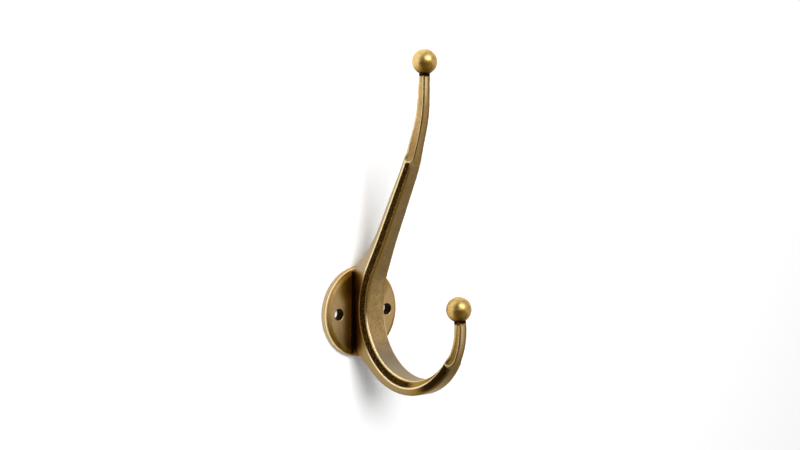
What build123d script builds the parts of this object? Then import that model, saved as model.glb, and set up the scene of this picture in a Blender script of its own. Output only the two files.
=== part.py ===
from build123d import *
import math
import os

# Wall hook cast in one piece: round back plate, root, bevelled strap, two slim stems, two balls.
# Frame: origin at the centre of the plate's back face, wall at y = 0, hook towards -Y, +Z up. Millimetres.

# Back plate
plate_d = 35.2
plate_t = 3.8
plate_rim_r = 1.9
screw_d = 4.3
screw_spacing = 24.0
screw_bevel = 0.2

# Front line of the strap, seen from the side
root_reach = 11.1
bowl_r = 24.25
bowl_z = 2.4
tip_r = 20.0
tip_low_angle = 28.0
tip_high_angle = 9.75
arm_bend_r = 34.0
arm_lean_angle = 25.0
arm_run = 41.85
crest_r = 62.0
stem_lean_angle = 16.2
stem_run = 8.75
top_bend_r = 50.0
top_run = 8.85

# Width of the flat front face
root_w = 8.9
arm_w = 5.9
shoulder_w = 5.0
arm_taper_run = 34.0
bowl_taper_power = 1.6

# Thickness of the strap from front to back
bowl_t = 9.1
tip_t = 2.9
arm_t = 7.25
top_t = 2.4
arm_thin_power = 1.2

# Hollow flares that lead the back of the strap out to the plate's rim, as lengths along the front line
root_sink = 1.4
low_flare_start = 11.5
low_flare_run = 20.5
top_flare_start = 12.0
top_flare_run = 30.0

# Bevel along each front edge, its softened corner, and the back rounded in narrow flats
bevel_w = 0.95
bevel_depth = 3.5
bevel_depth_top = 2.8
bevel_depth_tip = 0.7
bevel_stem = 0.9
side_draft_w = 0.3
front_edge_w = 0.35
back_r = 1.4
back_flats = 3

# Shoulders where the bevels stop in a round scoop and the slim stems begin
low_shoulder = 60.5
top_shoulder = 62.7
scoop_r = 4.0
stem_waist_w = 2.9

# Balls, sunk a little onto the ends of the stems
ball_d = 9.5
ball_sink = 0.6

# How far cutters run past, and the spacing of sections
past = 12.0
step = 4.5


def blend(a, b, u):
    """Straight change from a to b while u goes from 0 to 1."""
    u = min(max(u, 0.0), 1.0)
    return a + (b - a) * u


def ease(a, b, u):
    """Soft change from a to b while u goes from 0 to 1."""
    u = min(max(u, 0.0), 1.0)
    return a + (b - a) * (0.5 - 0.5 * math.cos(math.pi * u))


def front_line():
    """Front face's centre line in the (y, z) plane, from the lower tip round the bowl to the top."""
    middle = Vector(-(root_reach + bowl_r), bowl_z)
    inward = Vector(math.cos(math.radians(tip_low_angle)), math.sin(math.radians(tip_low_angle)))
    tip_middle = middle - inward * (bowl_r - tip_r)
    tip = CenterArc(tip_middle, tip_r, 180 - tip_high_angle, tip_high_angle + tip_low_angle)
    bowl = CenterArc(middle, bowl_r, 180 + tip_low_angle, 180 - tip_low_angle)
    bend = JernArc(bowl @ 1, bowl % 1, arm_bend_r, arm_lean_angle)
    run = Line(bend @ 1, (bend @ 1) + (bend % 1) * arm_run)
    crest = JernArc(run @ 1, run % 1, crest_r, stem_lean_angle - arm_lean_angle)
    stem = Line(crest @ 1, (crest @ 1) + (crest % 1) * stem_run)
    top_bend = JernArc(stem @ 1, stem % 1, top_bend_r, -stem_lean_angle)
    top = Line(top_bend @ 1, (top_bend @ 1) + (top_bend % 1) * top_run)
    low = [tip, bowl]
    high = [bend, run, crest, stem, top_bend, top]
    whole = Wire([edge for piece in low + high for edge in piece.edges()])
    return whole, sum(piece.length for piece in low)


line, low_len = front_line()
top_len = line.length - low_len


def station(s):
    """Section plane at distance s above the root along the front line; local y points to the back."""
    at = line.position_at(s + low_len, position_mode=PositionMode.LENGTH)
    way = line.tangent_at(s + low_len, position_mode=PositionMode.LENGTH)
    return Plane(origin=(0, at.X, at.Y), x_dir=(1, 0, 0), z_dir=(0, way.X, way.Y))


def front_half(s):
    """Half the width of the flat front face."""
    if s < 0:
        return blend(root_w, shoulder_w, (-s / low_shoulder) ** bowl_taper_power) / 2
    if s < arm_taper_run:
        return ease(root_w, arm_w, s / arm_taper_run) / 2
    return blend(arm_w, shoulder_w, (s - arm_taper_run) / (top_shoulder - arm_taper_run)) / 2


def bare_thickness(s):
    """Depth from the flat front face to the back, without the flares at the plate."""
    if s < 0:
        return ease(bowl_t, tip_t, -s / low_len)
    return blend(arm_t, top_t, (s / top_len) ** arm_thin_power)


def depth_to_plate(s):
    """Depth at which the back of the strap meets the face of the plate's rim."""
    at = station(s)
    return (-plate_t - at.origin.Y) / at.y_dir.Y


def thickness(s):
    """Depth from the flat front face to the back, sunk into the plate at the root."""
    start, run = (low_flare_start, low_flare_run) if s < 0 else (top_flare_start, top_flare_run)
    far = abs(s)
    edge = math.copysign(start, s)
    if far < start:
        return ease(root_reach - plate_t + root_sink, depth_to_plate(edge), far / start)
    swell = max(run - far, 0) / (run - start)
    return bare_thickness(s) + (depth_to_plate(edge) - bare_thickness(edge)) * swell * swell


def ridge_depth(s):
    """Depth of the ridge where the bevel meets the side."""
    if s < 0:
        return blend(bevel_depth, bevel_depth_tip, 2 * -s / low_shoulder - 1)
    if s < top_shoulder:
        return blend(bevel_depth, bevel_depth_top, s / top_shoulder)
    return blend(bevel_depth_top, bevel_stem, (s - top_shoulder) / (top_len - top_shoulder))


def section(s):
    """Strap section: flat front, soft corners, steep bevels out to a ridge, sides drawn in to a rounded back."""
    front = front_half(s)
    ridge = front + bevel_w
    deep = ridge_depth(s)
    thick = thickness(s)
    back = ridge - side_draft_w
    turn = min(back_r, (thick - deep) / 2, back / 2)
    soft = front_edge_w / math.hypot(bevel_w, deep)
    half = [(front - front_edge_w, 0), (front + bevel_w * soft, deep * soft), (ridge, deep)]
    for i in range(back_flats + 1):
        angle = math.pi / 2 * i / back_flats
        half.append((back - turn + turn * math.cos(angle), thick - turn + turn * math.sin(angle)))
    other = [(-x, y) for x, y in reversed(half)]
    return station(s) * make_face(Polyline(*half, *other, close=True).edges())


def strap():
    """Bowl, root and arm in one smooth run of even sections."""
    count = math.ceil((low_len + top_len) / step)
    return loft([section(-low_len + (low_len + top_len) * i / count) for i in range(count + 1)])


def mid_depth(s):
    """Point half way between the front and the back of the strap."""
    at = station(s)
    return at.origin + at.y_dir * (thickness(s) / 2)


def scoop(s, end):
    """Cutter beside one stem: a round flute at half depth that starts as a ball-ended scoop at the shoulder."""
    axis = stem_waist_w / 2 + scoop_r
    inset = axis - front_half(s) - bevel_w
    start = s + math.copysign(math.sqrt(scoop_r * scoop_r - inset * inset), s)
    middle = Spline(mid_depth(start), mid_depth((start + end) / 2), mid_depth(end))
    tail = Line(middle @ 1, (middle @ 1) + (middle % 1) * past)
    disc = Plane(origin=middle @ 0, z_dir=middle % 0) * Circle(scoop_r)
    flute = sweep(disc, Wire(middle.edges() + tail.edges()))
    return Pos(axis, 0, 0) * (flute + Pos(*(middle @ 0)) * Sphere(scoop_r))


def ball(s, way):
    """Ball sunk onto the end of a stem."""
    middle = mid_depth(s) + station(s).z_dir * way * (ball_d / 2 - ball_sink)
    return Pos(*middle) * Sphere(ball_d / 2)


def plate():
    """Round plate with a rounded rim and two screw holes with bevelled mouths."""
    r = plate_d / 2
    rim = plate_t - plate_rim_r
    flat = r - plate_rim_r
    outline = Polyline((flat, plate_t), (0, plate_t), (0, 0), (r, 0), (r, rim))
    round_rim = RadiusArc((r, rim), (flat, plate_t), -plate_rim_r)
    face = make_face(outline.edges() + round_rim.edges())
    disc = revolve(Rot(180, 0, 0) * face, Axis.Y)
    bore = screw_d / 2
    mouth = bore + screw_bevel
    hole = Polyline(
        (0, -plate_t),
        (bore, -plate_t),
        (bore, plate_t - screw_bevel),
        (mouth, plate_t),
        (mouth, 2 * plate_t),
        (0, 2 * plate_t),
        close=True,
    )
    drill = revolve(Rot(180, 0, 0) * make_face(hole.edges()), Axis.Y)
    for side in (-1, 1):
        disc = disc - Pos(side * screw_spacing / 2, 0, 0) * drill
    return disc


body = strap()
for cutter in (scoop(-low_shoulder, -low_len), scoop(top_shoulder, top_len)):
    body = body - cutter - mirror(cutter, Plane.YZ)
hook = plate() + body + ball(-low_len, -1) + ball(top_len, 1)

os.makedirs("parts", exist_ok=True)
export_step(hook, "parts/hook.step")
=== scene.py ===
import math
from types import SimpleNamespace

import bpy
from mathutils import Matrix, Vector

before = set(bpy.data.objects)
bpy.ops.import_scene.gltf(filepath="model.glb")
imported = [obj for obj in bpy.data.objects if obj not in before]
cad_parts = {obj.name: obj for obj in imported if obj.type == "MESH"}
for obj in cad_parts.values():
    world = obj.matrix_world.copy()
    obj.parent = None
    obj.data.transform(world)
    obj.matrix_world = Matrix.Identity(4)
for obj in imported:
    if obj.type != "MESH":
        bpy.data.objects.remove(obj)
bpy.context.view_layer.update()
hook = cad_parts["hook"]

# Camera, fitted to the photograph: degrees, metres and millimetres of lens on a 36 mm sensor
VIEW_AZIMUTH = -40.40
VIEW_ELEVATION = 7.16
VIEW_ROLL = -0.62
VIEW_DISTANCE = 0.9148
VIEW_AIM = (0.0152, -0.0075, 0.0333)
VIEW_LENS = 105.47

# Wall, in metres, with a faint glow
WALL_SIZE = 1.6
WALL_GAP = 0.0002
WALL_PAINT = (0.96, 0.96, 0.96, 1.0)
WALL_GLOW = 0.03

# Lamps: the way to each from the hook, its size in metres and its power in watts
KEY_WAY = (-0.29, -0.92, 0.38)
KEY_SIZE = 0.5
KEY_POWER = 10.75
GLOSS_WAY = (-0.07, -0.78, 0.58)
GLOSS_SIZE = 0.65
GLOSS_POWER = 5.6
LAMP_DISTANCE = 1.0

# Room: its brightness away from and towards its dark side, and the share of it that is left at the floor
WHITE = (1.0, 1.0, 1.0, 1.0)
DARK_WAY = (-0.80, -0.58, 0.10)
DARK_SPAN = (0.0, 0.85)
ROOM_LIGHT = 0.58
ROOM_DARK = 0.12
FLOOR_SPAN = (-0.98, -0.75)
FLOOR_SHARE = 0.3

# Front line of the strap in the plane x = 0, in millimetres from the middle of the plate's back
MM_PER_M = 1000.0
ROOT_REACH = 11.1
ROOT_Z = 2.4
BOWL_R = 24.25
BOWL_MIDDLE_Y = -(ROOT_REACH + BOWL_R)
BEND_R = 34.0
BEND_MIDDLE_Y = -(ROOT_REACH + BEND_R)
ARM_LEAN = math.radians(25.0)
ARM_FOOT_Y = BEND_MIDDLE_Y + BEND_R * math.cos(ARM_LEAN)
ARM_FOOT_Z = ROOT_Z + BEND_R * math.sin(ARM_LEAN)

# Shoulders: a length up the arm from its foot, and a turn round the bowl in radians
ARM_TOP = 47.9
BOWL_END = 2.49

# Depth of the ridge behind the strap's front face, and half the width of that face
RIDGE = 3.5
RIDGE_TOP = 2.8
RIDGE_TIP = 0.7
ROOT_HALF = 4.45
ARM_HALF = 2.95
SHOULDER_HALF = 2.5
BOWL_TAPER_POWER = 1.6
ARM_TAPER = (ROOT_Z, 34.0)
SHOULDER_TAPER = (30.0, 64.0)

# Half the width of the stems
LOW_STEM_HALF = 1.8
TOP_STEM_FOOT_HALF = 2.15
TOP_STEM_TIP_HALF = 1.60
TOP_STEM_TAPER = (58.0, 97.0)

# Balls: radius, and y and z of their middles
BALL_R = 4.75
LOW_BALL = (-59.54, 8.13)
TOP_BALL = (-38.55, 98.96)

# Plate: screw holes, seam along the strap, crest and groove of the rim
HOLE_X = 12.0
HOLE_R = 2.15
SEAM_X = 5.2
SEAM_Y = -3.8
RIM_CREST_Y = -2.2
RIM_GROOVE_Y = -1.55

# Colours of the finish, and of painted sheen, shade and reflection laid on it
BRASS = (0.62, 0.41, 0.175)
BRASS_DEEP = (0.33, 0.21, 0.08)
PALE_BRASS = (0.87, 0.61, 0.29)
# Grey for a painted sheen on the arm's sides
GREY_SHEEN_BRASS = (0.39, 0.315, 0.205)
SIDE_BRASS = (0.29, 0.20, 0.095)
# Grey for a painted reflection of the white wall on the bowl's upward front
ASH_REFLECTION_BRASS = (0.26, 0.222, 0.162)
RIM_BRASS = (0.52, 0.39, 0.23)
GOLD = (0.78, 0.54, 0.22)
# Gold of worn spots, also used for the painted highlight along the bowl's front edges
WORN_AND_HIGHLIGHT_GOLD = (1.0, 0.82, 0.48)
OLIVE = (0.32, 0.186, 0.018)
DEEP_OLIVE = (0.12, 0.066, 0.006)
FLUTE_OLIVE = (0.20, 0.115, 0.03)
# Dark brown for painted shade on the strap's faces that turn down
UNDER_SHADE_BROWN = (0.17, 0.11, 0.045)
# Brown for painted shade and dark reflection on the balls' lower front
BALL_SHADE_AND_REFLECTION_BROWN = (0.48, 0.25, 0.025)
BALL_SHADE = (0.14, 0.07, 0.01)
BROWN = (0.16, 0.056, 0.007)
SEAM_BROWN = (0.38, 0.13, 0.02)
# Dark of the oxide, also laid as painted shade in corners, necks, screw holes and at the root
OXIDE_AND_SHADE = (0.022, 0.008, 0.001)

# Noises: scale per millimetre, detail and roughness
CLOUD_NOISE = (0.25, 3.0, 0.5)
GRAIN_NOISE = (1.9, 5.0, 0.85)
SPECK_NOISE = (1.9, 4.0, 0.7)
RUB_NOISE = (2.4, 3.0, 0.75)
RING_NOISE = (0.45, 3.0, 0.6)
BLOTCH_NOISE = (0.8, 4.0, 0.7)
GRAIN_STRETCH = (1.0, 1.0, 0.5)
NOISE_MEAN = 0.5

# From here on, a pair is a span: where a soft change starts and where it ends. Lengths are in millimetres,
# turns round the bowl in radians, and tilts are parts of the surface's normal. Specks make an edge ragged

# Parts of the hook
UPPER_HALF = (40.0, 60.0)
MID_HEIGHT = 50.0
BALL_SKIN = (BALL_R + 0.04, BALL_R + 0.14)
# Neck under each ball, darkened with oxide and painted contact shadow
NECK_GAP = (BALL_R + 0.3, BALL_R + 1.4)
NECK_LEVEL = (0.3 - BALL_R, 1.8 - BALL_R)
STRAP_EDGE = (6.4, 7.0)
SIDE_TILT = (0.40, 0.75)
RUN_END = (-0.3, 0.2)
LIP_LENGTH = (0.6, 2.2)
ROOT_MIDDLE_Z = 1.0
ROOT_HEIGHT = (12.0, 18.0)
BEHIND_RIDGE = (0.0, 0.5)
PLATE_FRONT = (-4.6, -4.0)
PLATE_INNER = (5.5, 6.5)
ROUNDING_R = (15.2, 16.3)
ROUNDING_BACK = (-2.9, -2.6)
RIM_R = (17.0, 17.3)
RIM_FRONT = (-2.0, -1.7)
# Bore of a screw hole, darkened with oxide and painted shade
BORE_OXIDE_AND_SHADE_R = (HOLE_R + 0.02, HOLE_R + 0.15)

# Bevel: dark band, border, bright crest, and olive ridge at the root that is painted shade. The fronts, and
# the backs of band and border, are shares of the way from the front face to the ridge. The backs of ridge
# and crest lie behind the ridge
BAND_TURN = (1.45, 1.85)
BAND_RAGGED = 0.3
BAND_FRONT = (0.02, 0.42)
BAND_BACK = (0.78, 0.98)
BORDER_FRONT = (-0.15, 0.2)
BORDER_BACK = (0.85, 1.0)
CREST_FRONT = (0.86, 0.97)
CREST_BACK = (0.1, 0.6)
CREST_DULL = 0.95
RIDGE_FRONT = (0.75, 0.95)
RIDGE_BACK = (0.3, 1.3)
RUB_SPAN = (0.52, 0.68)

# Olive along the edges of the front face, weaker on the right
FRONT_OLIVE = (0.5, 0.93)
FRONT_OLIVE_Z = (-2.0, 8.0)
FRONT_OLIVE_DEPTH = (0.4, 1.2)
FRONT_OLIVE_X = (-0.5, 0.5)
FRONT_OLIVE_RIGHT = 0.3

# Dark outside of the bowl's end, with olive round it
OUTER_RAGGED = 1.2
OUTER_TURN = (1.6, 2.1)
OUTER_WIDE = (1.6, 2.7)
OUTER_BACK = (2.0, 3.3)
OUTER_OLIVE_TURN = (1.5, 2.0)
OUTER_OLIVE_WIDE = (1.2, 3.0)

# Seam: how far its dirt and painted shade reach, the shares of it that are olive and brown, and the root's
# dark flank, patina with painted shade
SEAM_REACH = 5.2
SEAM_TOP_REACH = 8.8
SEAM_TOP_Z = 11.0
SEAM_TOP_SPAN = (2.0, 8.0)
SEAM_FOOT_REACH = 3.6
SEAM_FOOT = (-17.0, -13.0)
SEAM_RAGGED = 0.35
SEAM_OLIVE_REACH = (0.50, 1.05)
SEAM_BROWN_REACH = (0.20, 0.80)
SEAM_BROWN_SHARE = 0.9
SEAM_MIDDLE_Z = -2.0
SEAM_MIDDLE_SPAN = (6.0, 11.0)
SEAM_BLACK = (0.3, 1.1)
SEAM_HEIGHT = (15.5, 17.5)
SEAM_BACK = (-2.5, -1.5)
FLANK_TOP = (8.0, 13.0)
FLANK_FOOT = (-16.5, -12.5)
FLANK_FRONT = (-10.5, -8.0)
FLANK_BLACK = (-8.5, -5.0)
FLANK_BLACK_Z = (-8.0, 8.0)
FLANK_BLACK_TOP = 0.6

# Hollows and edges, which their nodes measure in metres, worn lines, and a painted highlight along the
# bowl's front edges
NODE_SAMPLES = 8
HOLLOW_REACH = 0.003
SOFT_EDGE = 0.0005
BROAD_EDGE = 0.0012
EDGE_MATCH = (0.90, 0.995)
EDGE_OPEN = (0.55, 0.8)
BOWL_HIGHLIGHT_INSET = 0.12
BOWL_HIGHLIGHT = (0.12, 0.36)
BOWL_HIGHLIGHT_DEPTH = (0.4, 1.1)
BOWL_HIGHLIGHT_TURN = (-0.05, 0.3)
RIM_CREST = (0.15, 0.45)
RIM_WEAR = 0.8
WEAR_FLECK = (-0.2, 0.05)
WEAR_LEAST = 0.4

# Stems: a dark line inside the front edge, a worn middle near the balls, worn edges and dark flutes
STEM_START = (-4.0, -0.5)
STEM_X = (-0.4, 0.6)
STEM_RIGHT = 0.4
STEM_LINE = (0.5, 1.2)
STEM_LINE_FLECK = (-0.12, 0.10)
STEM_LINE_LEAST = 0.35
STEM_MIDDLE = (0.7, 1.2)
STEM_MIDDLE_REACH = (8.0, 20.0)
STEM_MIDDLE_NEAR = 0.75
STEM_MIDDLE_FAR = 0.1
STEM_EDGE_WEAR = 0.8
LOW_STEM_WEAR = 0.65
FLUTE_RUN = (-16.0, -2.0)
FLUTE_FAR = 0.3
FLUTE_FLECK = (-0.12, 0.12)
FLUTE_LEAST = 0.7

# Oxide, with painted shade in corners
CORNER_HOLLOW = (0.30, 0.75)
CORNER_OXIDE_AND_SHADE_SHARE = 0.8
OXIDE_RAGGED = 0.8
OXIDE_SPAN = (0.2, 0.8)
OXIDE_RUBBED = 0.6

# Plate's colour: tone of its face, olive ring on its rounding, dull rim with a groove
PLATE_TONE = (0.5, 1.15)
RING_Z = (-8.0, 2.0)
RING_TOP = 0.35
RING_PATCH = (0.36, 0.56)
RING_PATCH_LEAST = 0.85
RING_FOOT = (-13.0, -6.0)
RING_FOOT_SHARE = 0.45
GROOVE_SPAN = (0.1, 0.35)
GROOVE_SHARE = 0.65

# Balls' colour: brown patch of painted shade and dark reflection at the lower front, olive blotches, shade
# underneath
SHADE_PATCH_WAY = (-0.50, -0.74, -0.44)
SHADE_PATCH_RAGGED = 0.2
SHADE_PATCH_SPAN = (0.72, 0.88)
SHADE_PATCH_SHARE = 0.9
BLOTCH_SPAN = (0.46, 0.62)
BLOTCH_SHARE = 0.38
LOW_BALL_OLIVE = 0.24
TOP_BALL_OLIVE = 0.05
BALL_UNDER_TILT = (-0.9, -0.05)
BALL_UNDER_SHARE = 0.95

# Tones of the brass, and shares of the colours laid over one another, painted sheen, reflection and shade
# among them
TONE_CLOUD = 0.25
TONE_GRAIN = 1.15
BRASS_TONE = (0.52, 0.86)
BOWL_SIDE_TURN = (1.3, 2.0)
SIDE_SHARE = 0.9
ASH_TILT = (0.3, 0.9)
ASH_SHARE = 0.9
UNDER_TILT = (-0.6, -0.1)
UNDER_SHARE = 0.85
OLIVE_SHARE = 0.95
OUTER_OLIVE_SHARE = 0.9
BORDER_BROWN = 0.5
BROWN_SHARE = 0.9
BROWN_RUBBED = 0.7
STEM_OLIVE_SHARE = 0.4
TOP_FLUTE_SHARE = 0.75
RUBBED_GOLD = 0.3

# Gloss and relief, the bump's distance in metres
ROUGH_GRAIN = (0.3, 0.7)
ROUGH_LOW = 0.32
ROUGH_HIGH = 0.44
OXIDE_ROUGH = 0.2
BALL_SMOOTH = 0.02
ROUNDING_ROUGH = 0.28
WORN_SPAN = (0.0, 1.0)
METALLIC = 0.97
WORN_METALLIC = 0.4
SPECULAR_LEVEL = 0.3
SPECULAR_TINT = (0.95, 0.84, 0.66, 1.0)
RELIEF_GRAIN = 0.6
RELIEF_SPECKS = 0.4
BUMP_STRENGTH = 0.15
BUMP_DISTANCE = 0.0003

# Sockets of a Mix node for colours: its factor and two colours, and its result
MIX_INPUTS = (0, 6, 7)
MIX_RESULT = 2


class Field:
    """A number that changes over a surface. Arithmetic with it adds nodes to its shader tree."""

    def __init__(self, graph, socket):
        self.graph = graph
        self.socket = socket

    def __add__(self, other):
        return self.graph.math("ADD", self, other)

    def __sub__(self, other):
        return self.graph.math("SUBTRACT", self, other)

    def __rsub__(self, other):
        return self.graph.math("SUBTRACT", other, self)

    def __mul__(self, other):
        return self.graph.math("MULTIPLY", self, other)

    def __truediv__(self, other):
        return self.graph.math("DIVIDE", self, other)

    def __pow__(self, power):
        return self.graph.math("POWER", self, power)

    def __neg__(self):
        return self * -1.0

    def __abs__(self):
        return self.graph.math("ABSOLUTE", self)

    def above(self, level):
        """1 above the level, 0 elsewhere."""
        return self.graph.math("GREATER_THAN", self, level)

    def change(self, span, low, high):
        """Soft change from low to high across the span."""
        start, end = span
        inputs = {"Value": self, "From Min": start, "From Max": end, "To Min": low, "To Max": high}
        made = self.graph.node("ShaderNodeMapRange", inputs, interpolation_type="SMOOTHSTEP")
        return Field(self.graph, made.outputs[0])

    def rise(self, span):
        """Soft change from 0 to 1 across the span."""
        return self.change(span, 0.0, 1.0)

    def fall(self, span):
        """Soft change from 1 to 0 across the span."""
        return self.change(span, 1.0, 0.0)


class Graph:
    """Short calls that add nodes to one shader tree and link them."""

    def __init__(self, tree):
        self.tree = tree
        tree.nodes.clear()

    def fill(self, socket, value):
        """Links a field or another node's socket, or sets a constant."""
        if isinstance(value, Field):
            value = value.socket
        if isinstance(value, bpy.types.NodeSocket):
            self.tree.links.new(value, socket)
        else:
            socket.default_value = value

    def node(self, kind, inputs=None, **settings):
        made = self.tree.nodes.new(kind)
        for name, value in settings.items():
            setattr(made, name, value)
        for name, value in (inputs or {}).items():
            self.fill(made.inputs[name], value)
        return made

    def math(self, operation, *values, clamp=False):
        inputs = dict(enumerate(values))
        made = self.node("ShaderNodeMath", inputs, operation=operation, use_clamp=clamp)
        return Field(self, made.outputs[0])

    def mix(self, factor, a, b):
        """Colour a where the factor is 0, colour b where it is 1."""
        made = self.node("ShaderNodeMix", data_type="RGBA")
        for index, value in zip(MIX_INPUTS, (factor, a, b)):
            if isinstance(value, tuple):
                value = (*value, 1.0)
            self.fill(made.inputs[index], value)
        return made.outputs[MIX_RESULT]

    def noise(self, vector, scale, detail, rough):
        inputs = {"Vector": vector, "Scale": scale, "Detail": detail, "Roughness": rough}
        return Field(self, self.node("ShaderNodeTexNoise", inputs).outputs["Fac"])

    def dot(self, a, b):
        made = self.node("ShaderNodeVectorMath", {0: a, 1: b}, operation="DOT_PRODUCT")
        return Field(self, made.outputs["Value"])

    def split(self, vector):
        """The three parts of a vector."""
        made = self.node("ShaderNodeSeparateXYZ", {0: vector})
        return [Field(self, socket) for socket in made.outputs]


def most(first, *others):
    """The largest of several values at each point."""
    for other in others:
        first = first.graph.math("MAXIMUM", first, other)
    return first


def hypot(a, b):
    return a.graph.math("SQRT", a * a + b * b)


def either(test, a, b):
    """a where the test is 1, b where it is 0."""
    return a * test + (1.0 - test) * b


class Surface:
    """Where each point of the hook lies, in millimetres, and masks for the parts of the hook."""

    def __init__(self, graph):
        self.graph = graph
        coordinates = graph.node("ShaderNodeTexCoord").outputs
        scale = {0: coordinates["Object"], "Scale": MM_PER_M}
        self.spot = graph.node("ShaderNodeVectorMath", scale, operation="SCALE").outputs[0]
        self.normal = coordinates["Normal"]
        self.x, self.y, self.z = graph.split(self.spot)
        self.wide = abs(self.x)
        self.radius = hypot(self.x, self.z)
        self.add_grain()
        self.add_strap()
        self.add_balls()
        self.add_parts()

    def add_grain(self):
        """Clouds, grain and specks that break up the finish, and hollows, where oxide and painted shade
        gather.
        """
        g = self.graph
        stretch = {0: self.spot, 1: GRAIN_STRETCH}
        grain_spot = g.node("ShaderNodeVectorMath", stretch, operation="MULTIPLY").outputs[0]
        self.cloud = g.noise(self.spot, *CLOUD_NOISE)
        self.grain = g.noise(grain_spot, *GRAIN_NOISE)
        self.specks = g.noise(self.spot, *SPECK_NOISE)
        self.fleck = self.specks - NOISE_MEAN
        reach = {"Distance": HOLLOW_REACH}
        hollow = g.node("ShaderNodeAmbientOcclusion", reach, samples=NODE_SAMPLES, only_local=True)
        self.hollow = Field(g, hollow.outputs["AO"])

    def add_strap(self):
        """Depth behind the strap's front face and ridge, half its width, and the way to its shoulders."""
        out = self.y - BOWL_MIDDLE_Y
        up = self.z - ROOT_Z
        bowl = hypot(out, up) - BOWL_R
        self.turn = self.graph.math("ARCTAN2", -up, out)
        bowl_ridge = self.turn.change((BOWL_END / 2, BOWL_END), RIDGE, RIDGE_TIP)
        bowl_taper = most(self.turn / BOWL_END, 0.0) ** BOWL_TAPER_POWER
        bowl_half = ROOT_HALF - bowl_taper * (ROOT_HALF - SHOULDER_HALF)

        bend = hypot(self.y - BEND_MIDDLE_Y, up) - BEND_R
        out = self.y - ARM_FOOT_Y
        up = self.z - ARM_FOOT_Z
        line = out * math.cos(ARM_LEAN) + up * math.sin(ARM_LEAN)
        along = up * math.cos(ARM_LEAN) - out * math.sin(ARM_LEAN)
        arm = either(along.above(0.0), line, bend)
        arm_ridge = along.change((0.0, ARM_TOP), RIDGE, RIDGE_TOP)
        arm_half = self.z.change(ARM_TAPER, ROOT_HALF, ARM_HALF)
        arm_half = arm_half - self.z.change(SHOULDER_TAPER, 0.0, ARM_HALF - SHOULDER_HALF)

        inside = self.y.above(BOWL_MIDDLE_Y)
        self.on_arm = self.z.above(ROOT_Z) * most(inside, self.z.above(ARM_FOOT_Z))
        self.on_bowl = 1.0 - self.on_arm
        ridge = either(self.on_arm, arm_ridge, bowl_ridge)
        self.depth = either(self.on_arm, arm, bowl)
        self.share = self.depth / ridge
        self.past_ridge = self.depth - ridge
        self.half = either(self.on_arm, arm_half, bowl_half)
        self.to_end = either(self.on_arm, ARM_TOP - along, (BOWL_END - self.turn) * BOWL_R)

    def from_middle(self, middle):
        """Distance from the middle of a ball."""
        return hypot(self.x, hypot(self.y - middle[0], self.z - middle[1]))

    def add_balls(self):
        """The balls, the distance from the nearer one's middle, and the dark necks under them, oxide with
        painted contact shadow.
        """
        low = self.from_middle(LOW_BALL)
        self.from_ball = self.graph.math("MINIMUM", low, self.from_middle(TOP_BALL))
        self.ball = self.from_ball.fall(BALL_SKIN)
        level = either(self.z.above(TOP_BALL[1] / 2), self.z - TOP_BALL[1], self.z - LOW_BALL[1])
        # Oxide and painted contact shadow under each ball
        self.neck_oxide_and_shade = self.from_ball.fall(NECK_GAP) * level.fall(NECK_LEVEL)

    def add_parts(self):
        """The strap's sides and front, its bevelled run, stems, lips and root, and the plate's parts."""
        tilt_x, _, self.tilt_up = self.graph.split(self.normal)
        turned = abs(tilt_x).rise(SIDE_TILT)
        self.strap = (1.0 - self.ball) * self.wide.fall(STRAP_EDGE)
        self.side = turned * self.strap
        self.front = (1.0 - turned) * self.strap
        self.run = self.to_end.rise(RUN_END)
        self.stem = 1.0 - self.run
        self.lip = abs(self.to_end).fall(LIP_LENGTH)
        self.root = abs(self.z - ROOT_MIDDLE_Z).fall(ROOT_HEIGHT)
        self.plate = self.y.rise(PLATE_FRONT) * self.wide.rise(PLATE_INNER)
        self.rounding = (self.radius + self.fleck).rise(ROUNDING_R) * self.y.fall(ROUNDING_BACK)
        self.rim = self.radius.rise(RIM_R)


def bevel_masks(at):
    """Dark band along the bevels, its rubbed spots and border, the olive beside it, olive on the ridge at
    the root that is painted shade, and the bright crest.
    """
    bevel = at.side * (at.run * most(at.on_arm, at.turn.fall(BAND_TURN)))
    ragged = at.share + at.fleck * BAND_RAGGED
    band = bevel * ragged.rise(BAND_FRONT) * ragged.fall(BAND_BACK)
    border = bevel * at.share.rise(BORDER_FRONT) * at.share.fall(BORDER_BACK)
    beside = at.front * at.run * (at.wide / at.half).rise(FRONT_OLIVE)
    beside = beside * at.x.change(FRONT_OLIVE_X, 1.0, FRONT_OLIVE_RIGHT)
    beside = beside * at.z.rise(FRONT_OLIVE_Z) * at.depth.fall(FRONT_OLIVE_DEPTH)
    # Olive on the ridge at the root: painted shade near the plate
    ridge = at.side * at.root * at.share.rise(RIDGE_FRONT) * at.past_ridge.fall(RIDGE_BACK)
    crest = at.side * at.run * at.share.rise(CREST_FRONT) * at.past_ridge.fall(CREST_BACK)
    return SimpleNamespace(
        band=band,
        rubbed=at.graph.noise(at.spot, *RUB_NOISE).rise(RUB_SPAN) * band,
        border=border,
        olive=most(beside, border, ridge),
        crest=crest * (1.0 - at.root * CREST_DULL),
    )


def bowl_end_masks(at):
    """Dark outside of the bowl's end, and the olive round it."""
    outside = at.strap * at.on_bowl * at.run * at.past_ridge.rise(BEHIND_RIDGE)
    ragged = at.past_ridge + at.fleck * OUTER_RAGGED
    dark = outside * at.turn.rise(OUTER_TURN) * at.wide.rise(OUTER_WIDE) * ragged.fall(OUTER_BACK)
    olive = outside * at.turn.rise(OUTER_OLIVE_TURN) * at.wide.rise(OUTER_OLIVE_WIDE)
    return SimpleNamespace(dark=dark, olive=olive)


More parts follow.
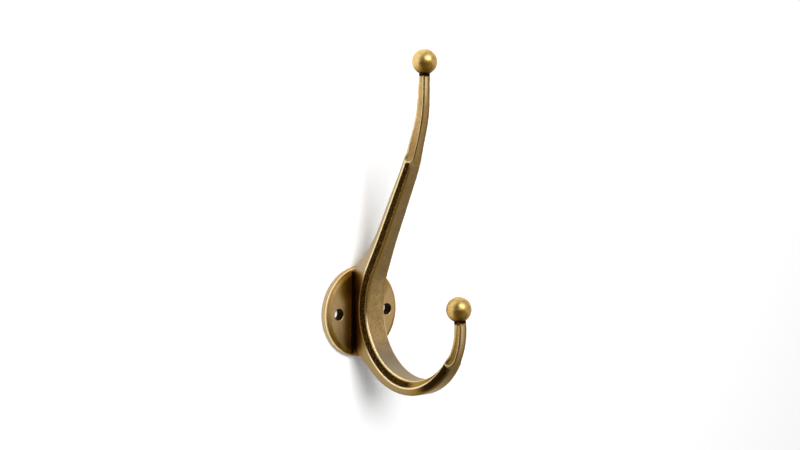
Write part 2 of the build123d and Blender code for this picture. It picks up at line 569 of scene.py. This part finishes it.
def seam_masks(at):
    """Black seam where the strap meets the plate, brown and olive beside it that are patina with painted
    shade and reflection of the root, and the root's dark flank, patina with painted shade.
    """
    from_seam = hypot(at.wide - SEAM_X, at.y - SEAM_Y)
    reach = abs(at.z - SEAM_TOP_Z).change(SEAM_TOP_SPAN, SEAM_TOP_REACH, SEAM_REACH)
    reach = reach + at.z.change(SEAM_FOOT, SEAM_FOOT_REACH, 0.0)
    ragged = from_seam / reach + at.fleck * SEAM_RAGGED
    window = abs(at.z).fall(SEAM_HEIGHT) * at.y.fall(SEAM_BACK)
    # The root's flank: patina with painted shade, black towards the plate
    flank_patina_and_shade = at.side * at.past_ridge.rise(BEHIND_RIDGE) * at.z.fall(FLANK_TOP) * at.z.rise(FLANK_FOOT)
    flank_patina_and_shade = flank_patina_and_shade * at.y.rise(FLANK_FRONT)
    return SimpleNamespace(
        olive=ragged.fall(SEAM_OLIVE_REACH) * window,
        brown=ragged.change(SEAM_BROWN_REACH, SEAM_BROWN_SHARE, 0.0) * window,
        middle=abs(at.z - SEAM_MIDDLE_Z).fall(SEAM_MIDDLE_SPAN),
        black=(from_seam + at.fleck).fall(SEAM_BLACK) * window,
        flank_patina_and_shade=flank_patina_and_shade,
        flank_oxide_and_shade=flank_patina_and_shade * at.y.rise(FLANK_BLACK) * at.z.change(FLANK_BLACK_Z, 1.0, FLANK_BLACK_TOP),
    )


def sharp_edges(at):
    """Outer edges, told by how far a broad rounding would turn the surface there."""
    g = at.graph
    broad = g.node("ShaderNodeBevel", {"Radius": BROAD_EDGE}, samples=NODE_SAMPLES).outputs[0]
    flat = g.node("ShaderNodeNewGeometry").outputs["True Normal"]
    return g.dot(broad, flat).fall(EDGE_MATCH) * at.hollow.rise(EDGE_OPEN)


def stem_masks(at):
    """Dark line inside a stem's front edge, dark flutes, and wear on its middle, edges and shoulder."""
    top_half = at.z.change(TOP_STEM_TAPER, TOP_STEM_FOOT_HALF, TOP_STEM_TIP_HALF)
    from_edge = either(at.z.above(MID_HEIGHT), top_half, LOW_STEM_HALF) - at.wide
    face = at.front * at.to_end.fall(STEM_START) * at.x.change(STEM_X, 1.0, STEM_RIGHT)
    line = face * from_edge.fall(STEM_LINE) * at.fleck.change(STEM_LINE_FLECK, STEM_LINE_LEAST, 1.0)
    near_ball = at.from_ball.change(STEM_MIDDLE_REACH, STEM_MIDDLE_NEAR, STEM_MIDDLE_FAR)
    middle = face * from_edge.rise(STEM_MIDDLE) * near_ball
    edge = sharp_edges(at)
    worn = most(middle, at.stem * at.side * edge * STEM_EDGE_WEAR, at.strap * at.lip * edge)
    flute = at.stem * at.side * at.to_end.change(FLUTE_RUN, FLUTE_FAR, 1.0)
    return SimpleNamespace(
        line=line,
        worn=worn * at.z.change(UPPER_HALF, LOW_STEM_WEAR, 1.0),
        flute=flute * at.fleck.change(FLUTE_FLECK, 1.0, FLUTE_LEAST),
    )


def wear_and_highlight_mask(at, bevel, stem):
    """Where the finish is rubbed bright: crests, stems, shoulders and the rim; and a painted highlight
    along the bowl's front edges.
    """
    # Painted highlight: a bright line along the bowl's front edges
    line = abs(at.wide - at.half + BOWL_HIGHLIGHT_INSET).fall(BOWL_HIGHLIGHT)
    line = at.strap * at.on_bowl * at.run * line
    line = line * at.depth.fall(BOWL_HIGHLIGHT_DEPTH) * at.turn.rise(BOWL_HIGHLIGHT_TURN)
    rim = at.rim * abs(at.y - RIM_CREST_Y).fall(RIM_CREST)
    worn = most(bevel.crest, line, stem.worn, rim * RIM_WEAR)
    return worn * at.fleck.change(WEAR_FLECK, WEAR_LEAST, 1.0) * (1.0 - at.neck_oxide_and_shade)


def oxide_and_shade_mask(at, bevel, bowl_end, seam, worn):
    """Where the finish is dark: oxide on bevels, the bowl's end and seam, and oxide with painted shade at
    the root, necks, corners and screw holes.
    """
    # Oxide and painted shade in the corners that the hollow finds
    corner_oxide_and_shade = at.hollow.fall(CORNER_HOLLOW) * CORNER_OXIDE_AND_SHADE_SHARE
    dark = most(bevel.band, bowl_end.dark, seam.black, at.neck_oxide_and_shade, corner_oxide_and_shade, seam.flank_oxide_and_shade)
    dark = (dark + at.fleck * OXIDE_RAGGED).rise(OXIDE_SPAN)
    dark = dark * (1.0 - bevel.rubbed * OXIDE_RUBBED) * (1.0 - worn)
    # Screw holes darkened with oxide and painted shade
    return most(dark, hypot(at.wide - HOLE_X, at.z).fall(BORE_OXIDE_AND_SHADE_R))


def plate_colour(at, tone):
    """Pale brass face, olive ring on the rounding, dull rim with a darker groove."""
    g = at.graph
    ring = at.rounding * at.z.change(RING_Z, 1.0, RING_TOP)
    ring = ring * g.noise(at.spot, *RING_NOISE).change(RING_PATCH, RING_PATCH_LEAST, 1.0)
    ring_olive = g.mix(at.z.change(RING_FOOT, RING_FOOT_SHARE, 0.0), OLIVE, DEEP_OLIVE)
    colour = g.mix(ring, g.mix(tone.rise(PLATE_TONE), BRASS, PALE_BRASS), ring_olive)
    colour = g.mix(at.y.rise(RIM_FRONT), colour, RIM_BRASS)
    groove = abs(at.y - RIM_GROOVE_Y).change(GROOVE_SPAN, GROOVE_SHARE, 0.0)
    return g.mix(groove * at.rim, colour, BRASS_DEEP)


def ball_colour(at):
    """Gold with a brown patch of painted shade and dark reflection at the lower front, olive blotches and
    shade underneath.
    """
    g = at.graph
    # Painted shade and dark reflection: a brown patch where the ball faces down and forward, leaving the
    # paler gold where the highlight falls
    shade_patch = g.dot(at.normal, SHADE_PATCH_WAY) + (at.cloud - NOISE_MEAN) * SHADE_PATCH_RAGGED
    colour = g.mix(shade_patch.change(SHADE_PATCH_SPAN, 0.0, SHADE_PATCH_SHARE), GOLD, BALL_SHADE_AND_REFLECTION_BROWN)
    blotch = g.noise(at.spot, *BLOTCH_NOISE).change(BLOTCH_SPAN, 0.0, BLOTCH_SHARE)
    olive = at.z.change(UPPER_HALF, LOW_BALL_OLIVE, TOP_BALL_OLIVE) + blotch
    colour = g.mix(olive, colour, OLIVE)
    return g.mix(at.tilt_up.change(BALL_UNDER_TILT, BALL_UNDER_SHARE, 0.0), colour, BALL_SHADE)


def face_colour(at, bevel, bowl_end, seam, stem):
    """Colour of the finish before wear and oxide, laid on part by part, with painted sheen, shade and
    reflection among the parts.
    """
    g = at.graph
    tone = at.cloud * TONE_CLOUD + at.grain * TONE_GRAIN
    colour = g.mix(tone.rise(BRASS_TONE), BRASS_DEEP, BRASS)
    colour = g.mix(at.plate, colour, plate_colour(at, tone))
    # Sides of the strap: darker brass on the bowl, olive at its end, and on the arm a greyer brass that is
    # a painted sheen
    bowl_side = g.mix(at.turn.rise(BOWL_SIDE_TURN), SIDE_BRASS, OLIVE)
    colour = g.mix(at.run * at.side * SIDE_SHARE, colour, g.mix(at.on_arm, bowl_side, GREY_SHEEN_BRASS))
    # Painted reflection: where the bowl's front turns up it takes the grey of the wall it faces
    colour = g.mix(at.front * at.on_bowl * at.tilt_up.change(ASH_TILT, 0.0, ASH_SHARE), colour, ASH_REFLECTION_BRASS)
    # Painted shade: faces of the strap that turn down take a dark brown
    colour = g.mix(at.tilt_up.change(UNDER_TILT, UNDER_SHARE, 0.0) * at.strap, colour, UNDER_SHADE_BROWN)
    colour = g.mix(at.ball, colour, ball_colour(at))
    # Olive beside the bevels, on the root's ridge and beside the seam; on the ridge it is painted shade,
    # beside the seam patina with painted shade and reflection of the root
    colour = g.mix(most(bevel.olive, seam.olive) * OLIVE_SHARE, colour, OLIVE)
    colour = g.mix(bowl_end.olive * OUTER_OLIVE_SHARE, colour, DEEP_OLIVE)
    # Brown beside the seam: patina with painted shade and reflection of the root
    colour = g.mix(seam.brown, colour, g.mix(seam.middle, BROWN, SEAM_BROWN))
    # Brown of the bevel's border, and patina with painted shade on the root's flank
    brown = most(bevel.border * BORDER_BROWN, seam.flank_patina_and_shade)
    colour = g.mix(brown * (BROWN_SHARE - bevel.rubbed * BROWN_RUBBED), colour, BROWN)
    colour = g.mix(at.stem * at.front * STEM_OLIVE_SHARE, colour, OLIVE)
    flute = stem.flute * at.z.change(UPPER_HALF, 1.0, TOP_FLUTE_SHARE)
    colour = g.mix(flute, colour, g.mix(at.z.rise(UPPER_HALF), DEEP_OLIVE, FLUTE_OLIVE))
    colour = g.mix(stem.line, colour, BROWN)
    return g.mix(bevel.rubbed * RUBBED_GOLD, colour, GOLD)


def relief(at):
    """Softened edges and a fine grain, as a normal."""
    g = at.graph
    rounded = g.node("ShaderNodeBevel", {"Radius": SOFT_EDGE}, samples=NODE_SAMPLES).outputs[0]
    height = at.grain * RELIEF_GRAIN + at.specks * RELIEF_SPECKS
    inputs = {"Strength": BUMP_STRENGTH, "Distance": BUMP_DISTANCE, "Height": height, "Normal": rounded}
    return g.node("ShaderNodeBump", inputs).outputs[0]


def new_material(name):
    material = bpy.data.materials.new(name)
    material.use_nodes = True
    return material, Graph(material.node_tree)


def antique_brass():
    """Satin antique brass: brown faces, dark oxide in bevels, oxide and painted shade in corners, gold on
    edges and balls, with painted sheen, shade, reflection and highlight in places.
    """
    material, g = new_material("antique_brass")
    at = Surface(g)
    bevel = bevel_masks(at)
    bowl_end = bowl_end_masks(at)
    seam = seam_masks(at)
    stem = stem_masks(at)
    worn = wear_and_highlight_mask(at, bevel, stem)
    dark = oxide_and_shade_mask(at, bevel, bowl_end, seam, worn)
    colour = g.mix(worn, face_colour(at, bevel, bowl_end, seam, stem), WORN_AND_HIGHLIGHT_GOLD)
    rough = at.grain.change(ROUGH_GRAIN, ROUGH_LOW, ROUGH_HIGH) + dark * OXIDE_ROUGH
    rough = rough - at.ball * BALL_SMOOTH + at.plate * at.rounding * ROUNDING_ROUGH
    shader = g.node("ShaderNodeBsdfPrincipled", {
        "Base Color": g.mix(dark, colour, OXIDE_AND_SHADE),
        "Metallic": worn.change(WORN_SPAN, METALLIC, WORN_METALLIC),
        "Roughness": rough,
        "Specular IOR Level": SPECULAR_LEVEL,
        "Specular Tint": SPECULAR_TINT,
        "Normal": relief(at),
    })
    g.node("ShaderNodeOutputMaterial", {"Surface": shader.outputs[0]})
    return material


def wall_white():
    """White wall that stays white behind the hook, keeps its shadow, and is seen only from the front."""
    material, g = new_material("white_wall")
    rays = g.node("ShaderNodeLightPath").outputs
    seen = g.math("ADD", rays["Is Camera Ray"], rays["Is Glossy Ray"])
    seen = g.math("ADD", seen, rays["Is Transmission Ray"], clamp=True)
    paint = g.node("ShaderNodeBsdfDiffuse", {"Color": WALL_PAINT})
    glow = g.node("ShaderNodeEmission", {"Color": WHITE, "Strength": seen * WALL_GLOW})
    both = g.node("ShaderNodeAddShader", {0: paint.outputs[0], 1: glow.outputs[0]})
    behind = g.node("ShaderNodeNewGeometry").outputs["Backfacing"]
    clear = g.node("ShaderNodeBsdfTransparent")
    pick = g.node("ShaderNodeMixShader", {0: behind, 1: both.outputs[0], 2: clear.outputs[0]})
    g.node("ShaderNodeOutputMaterial", {"Surface": pick.outputs[0]})
    return material


def wall():
    """Backdrop just behind the plate's back face, facing the camera."""
    half = WALL_SIZE / 2
    sides = ((-half, -half), (half, -half), (half, half), (-half, half))
    mesh = bpy.data.meshes.new("wall")
    mesh.from_pydata([(x, WALL_GAP, z) for x, z in sides], [], [(0, 1, 2, 3)])
    obj = bpy.data.objects.new("wall", mesh)
    bpy.context.scene.collection.objects.link(obj)
    mesh.materials.append(wall_white())


def softbox(name, way, size, power):
    """Square lamp turned towards the hook."""
    lamp = bpy.data.lights.new(name, "AREA")
    lamp.shape = "SQUARE"
    lamp.size = size
    lamp.energy = power
    obj = bpy.data.objects.new(name, lamp)
    bpy.context.scene.collection.objects.link(obj)
    way = Vector(way).normalized()
    obj.location = way * LAMP_DISTANCE
    obj.rotation_euler = way.to_track_quat("Z", "Y").to_euler()
    return obj


def room():
    """Dim studio: darker at the front left and at the floor, lighter at the right and above."""
    world = bpy.data.worlds.new("room")
    world.use_nodes = True
    g = Graph(world.node_tree)
    way = g.node("ShaderNodeTexCoord").outputs["Generated"]
    level = g.dot(way, DARK_WAY).change(DARK_SPAN, ROOM_LIGHT, ROOM_DARK)
    _, _, up = g.split(way)
    level = level * up.change(FLOOR_SPAN, FLOOR_SHARE, 1.0)
    background = g.node("ShaderNodeBackground", {"Color": WHITE, "Strength": level})
    g.node("ShaderNodeOutputWorld", {"Surface": background.outputs[0]})
    bpy.context.scene.world = world


def camera():
    """Camera at the photograph's angle, aimed at the hook and rolled a little."""
    azimuth = math.radians(VIEW_AZIMUTH)
    elevation = math.radians(VIEW_ELEVATION)
    back = Vector((
        math.sin(azimuth) * math.cos(elevation),
        -math.cos(azimuth) * math.cos(elevation),
        math.sin(elevation),
    ))
    lens = bpy.data.cameras.new("camera")
    lens.lens = VIEW_LENS
    obj = bpy.data.objects.new("camera", lens)
    bpy.context.scene.collection.objects.link(obj)
    roll = Matrix.Rotation(math.radians(-VIEW_ROLL), 3, "Z")
    turn = (-back).to_track_quat("-Z", "Y").to_matrix() @ roll
    obj.location = Vector(VIEW_AIM) + back * VIEW_DISTANCE
    obj.rotation_euler = turn.to_euler()
    bpy.context.scene.camera = obj


finish = antique_brass()
for index in range(max(len(hook.data.materials), 1)):
    hook.material_slots[index].link = "OBJECT"
    hook.material_slots[index].material = finish
wall()
softbox("key", KEY_WAY, KEY_SIZE, KEY_POWER).visible_glossy = False
softbox("gloss", GLOSS_WAY, GLOSS_SIZE, GLOSS_POWER).visible_diffuse = False
room()
camera()
bpy.context.scene.view_settings.view_transform = "Standard"
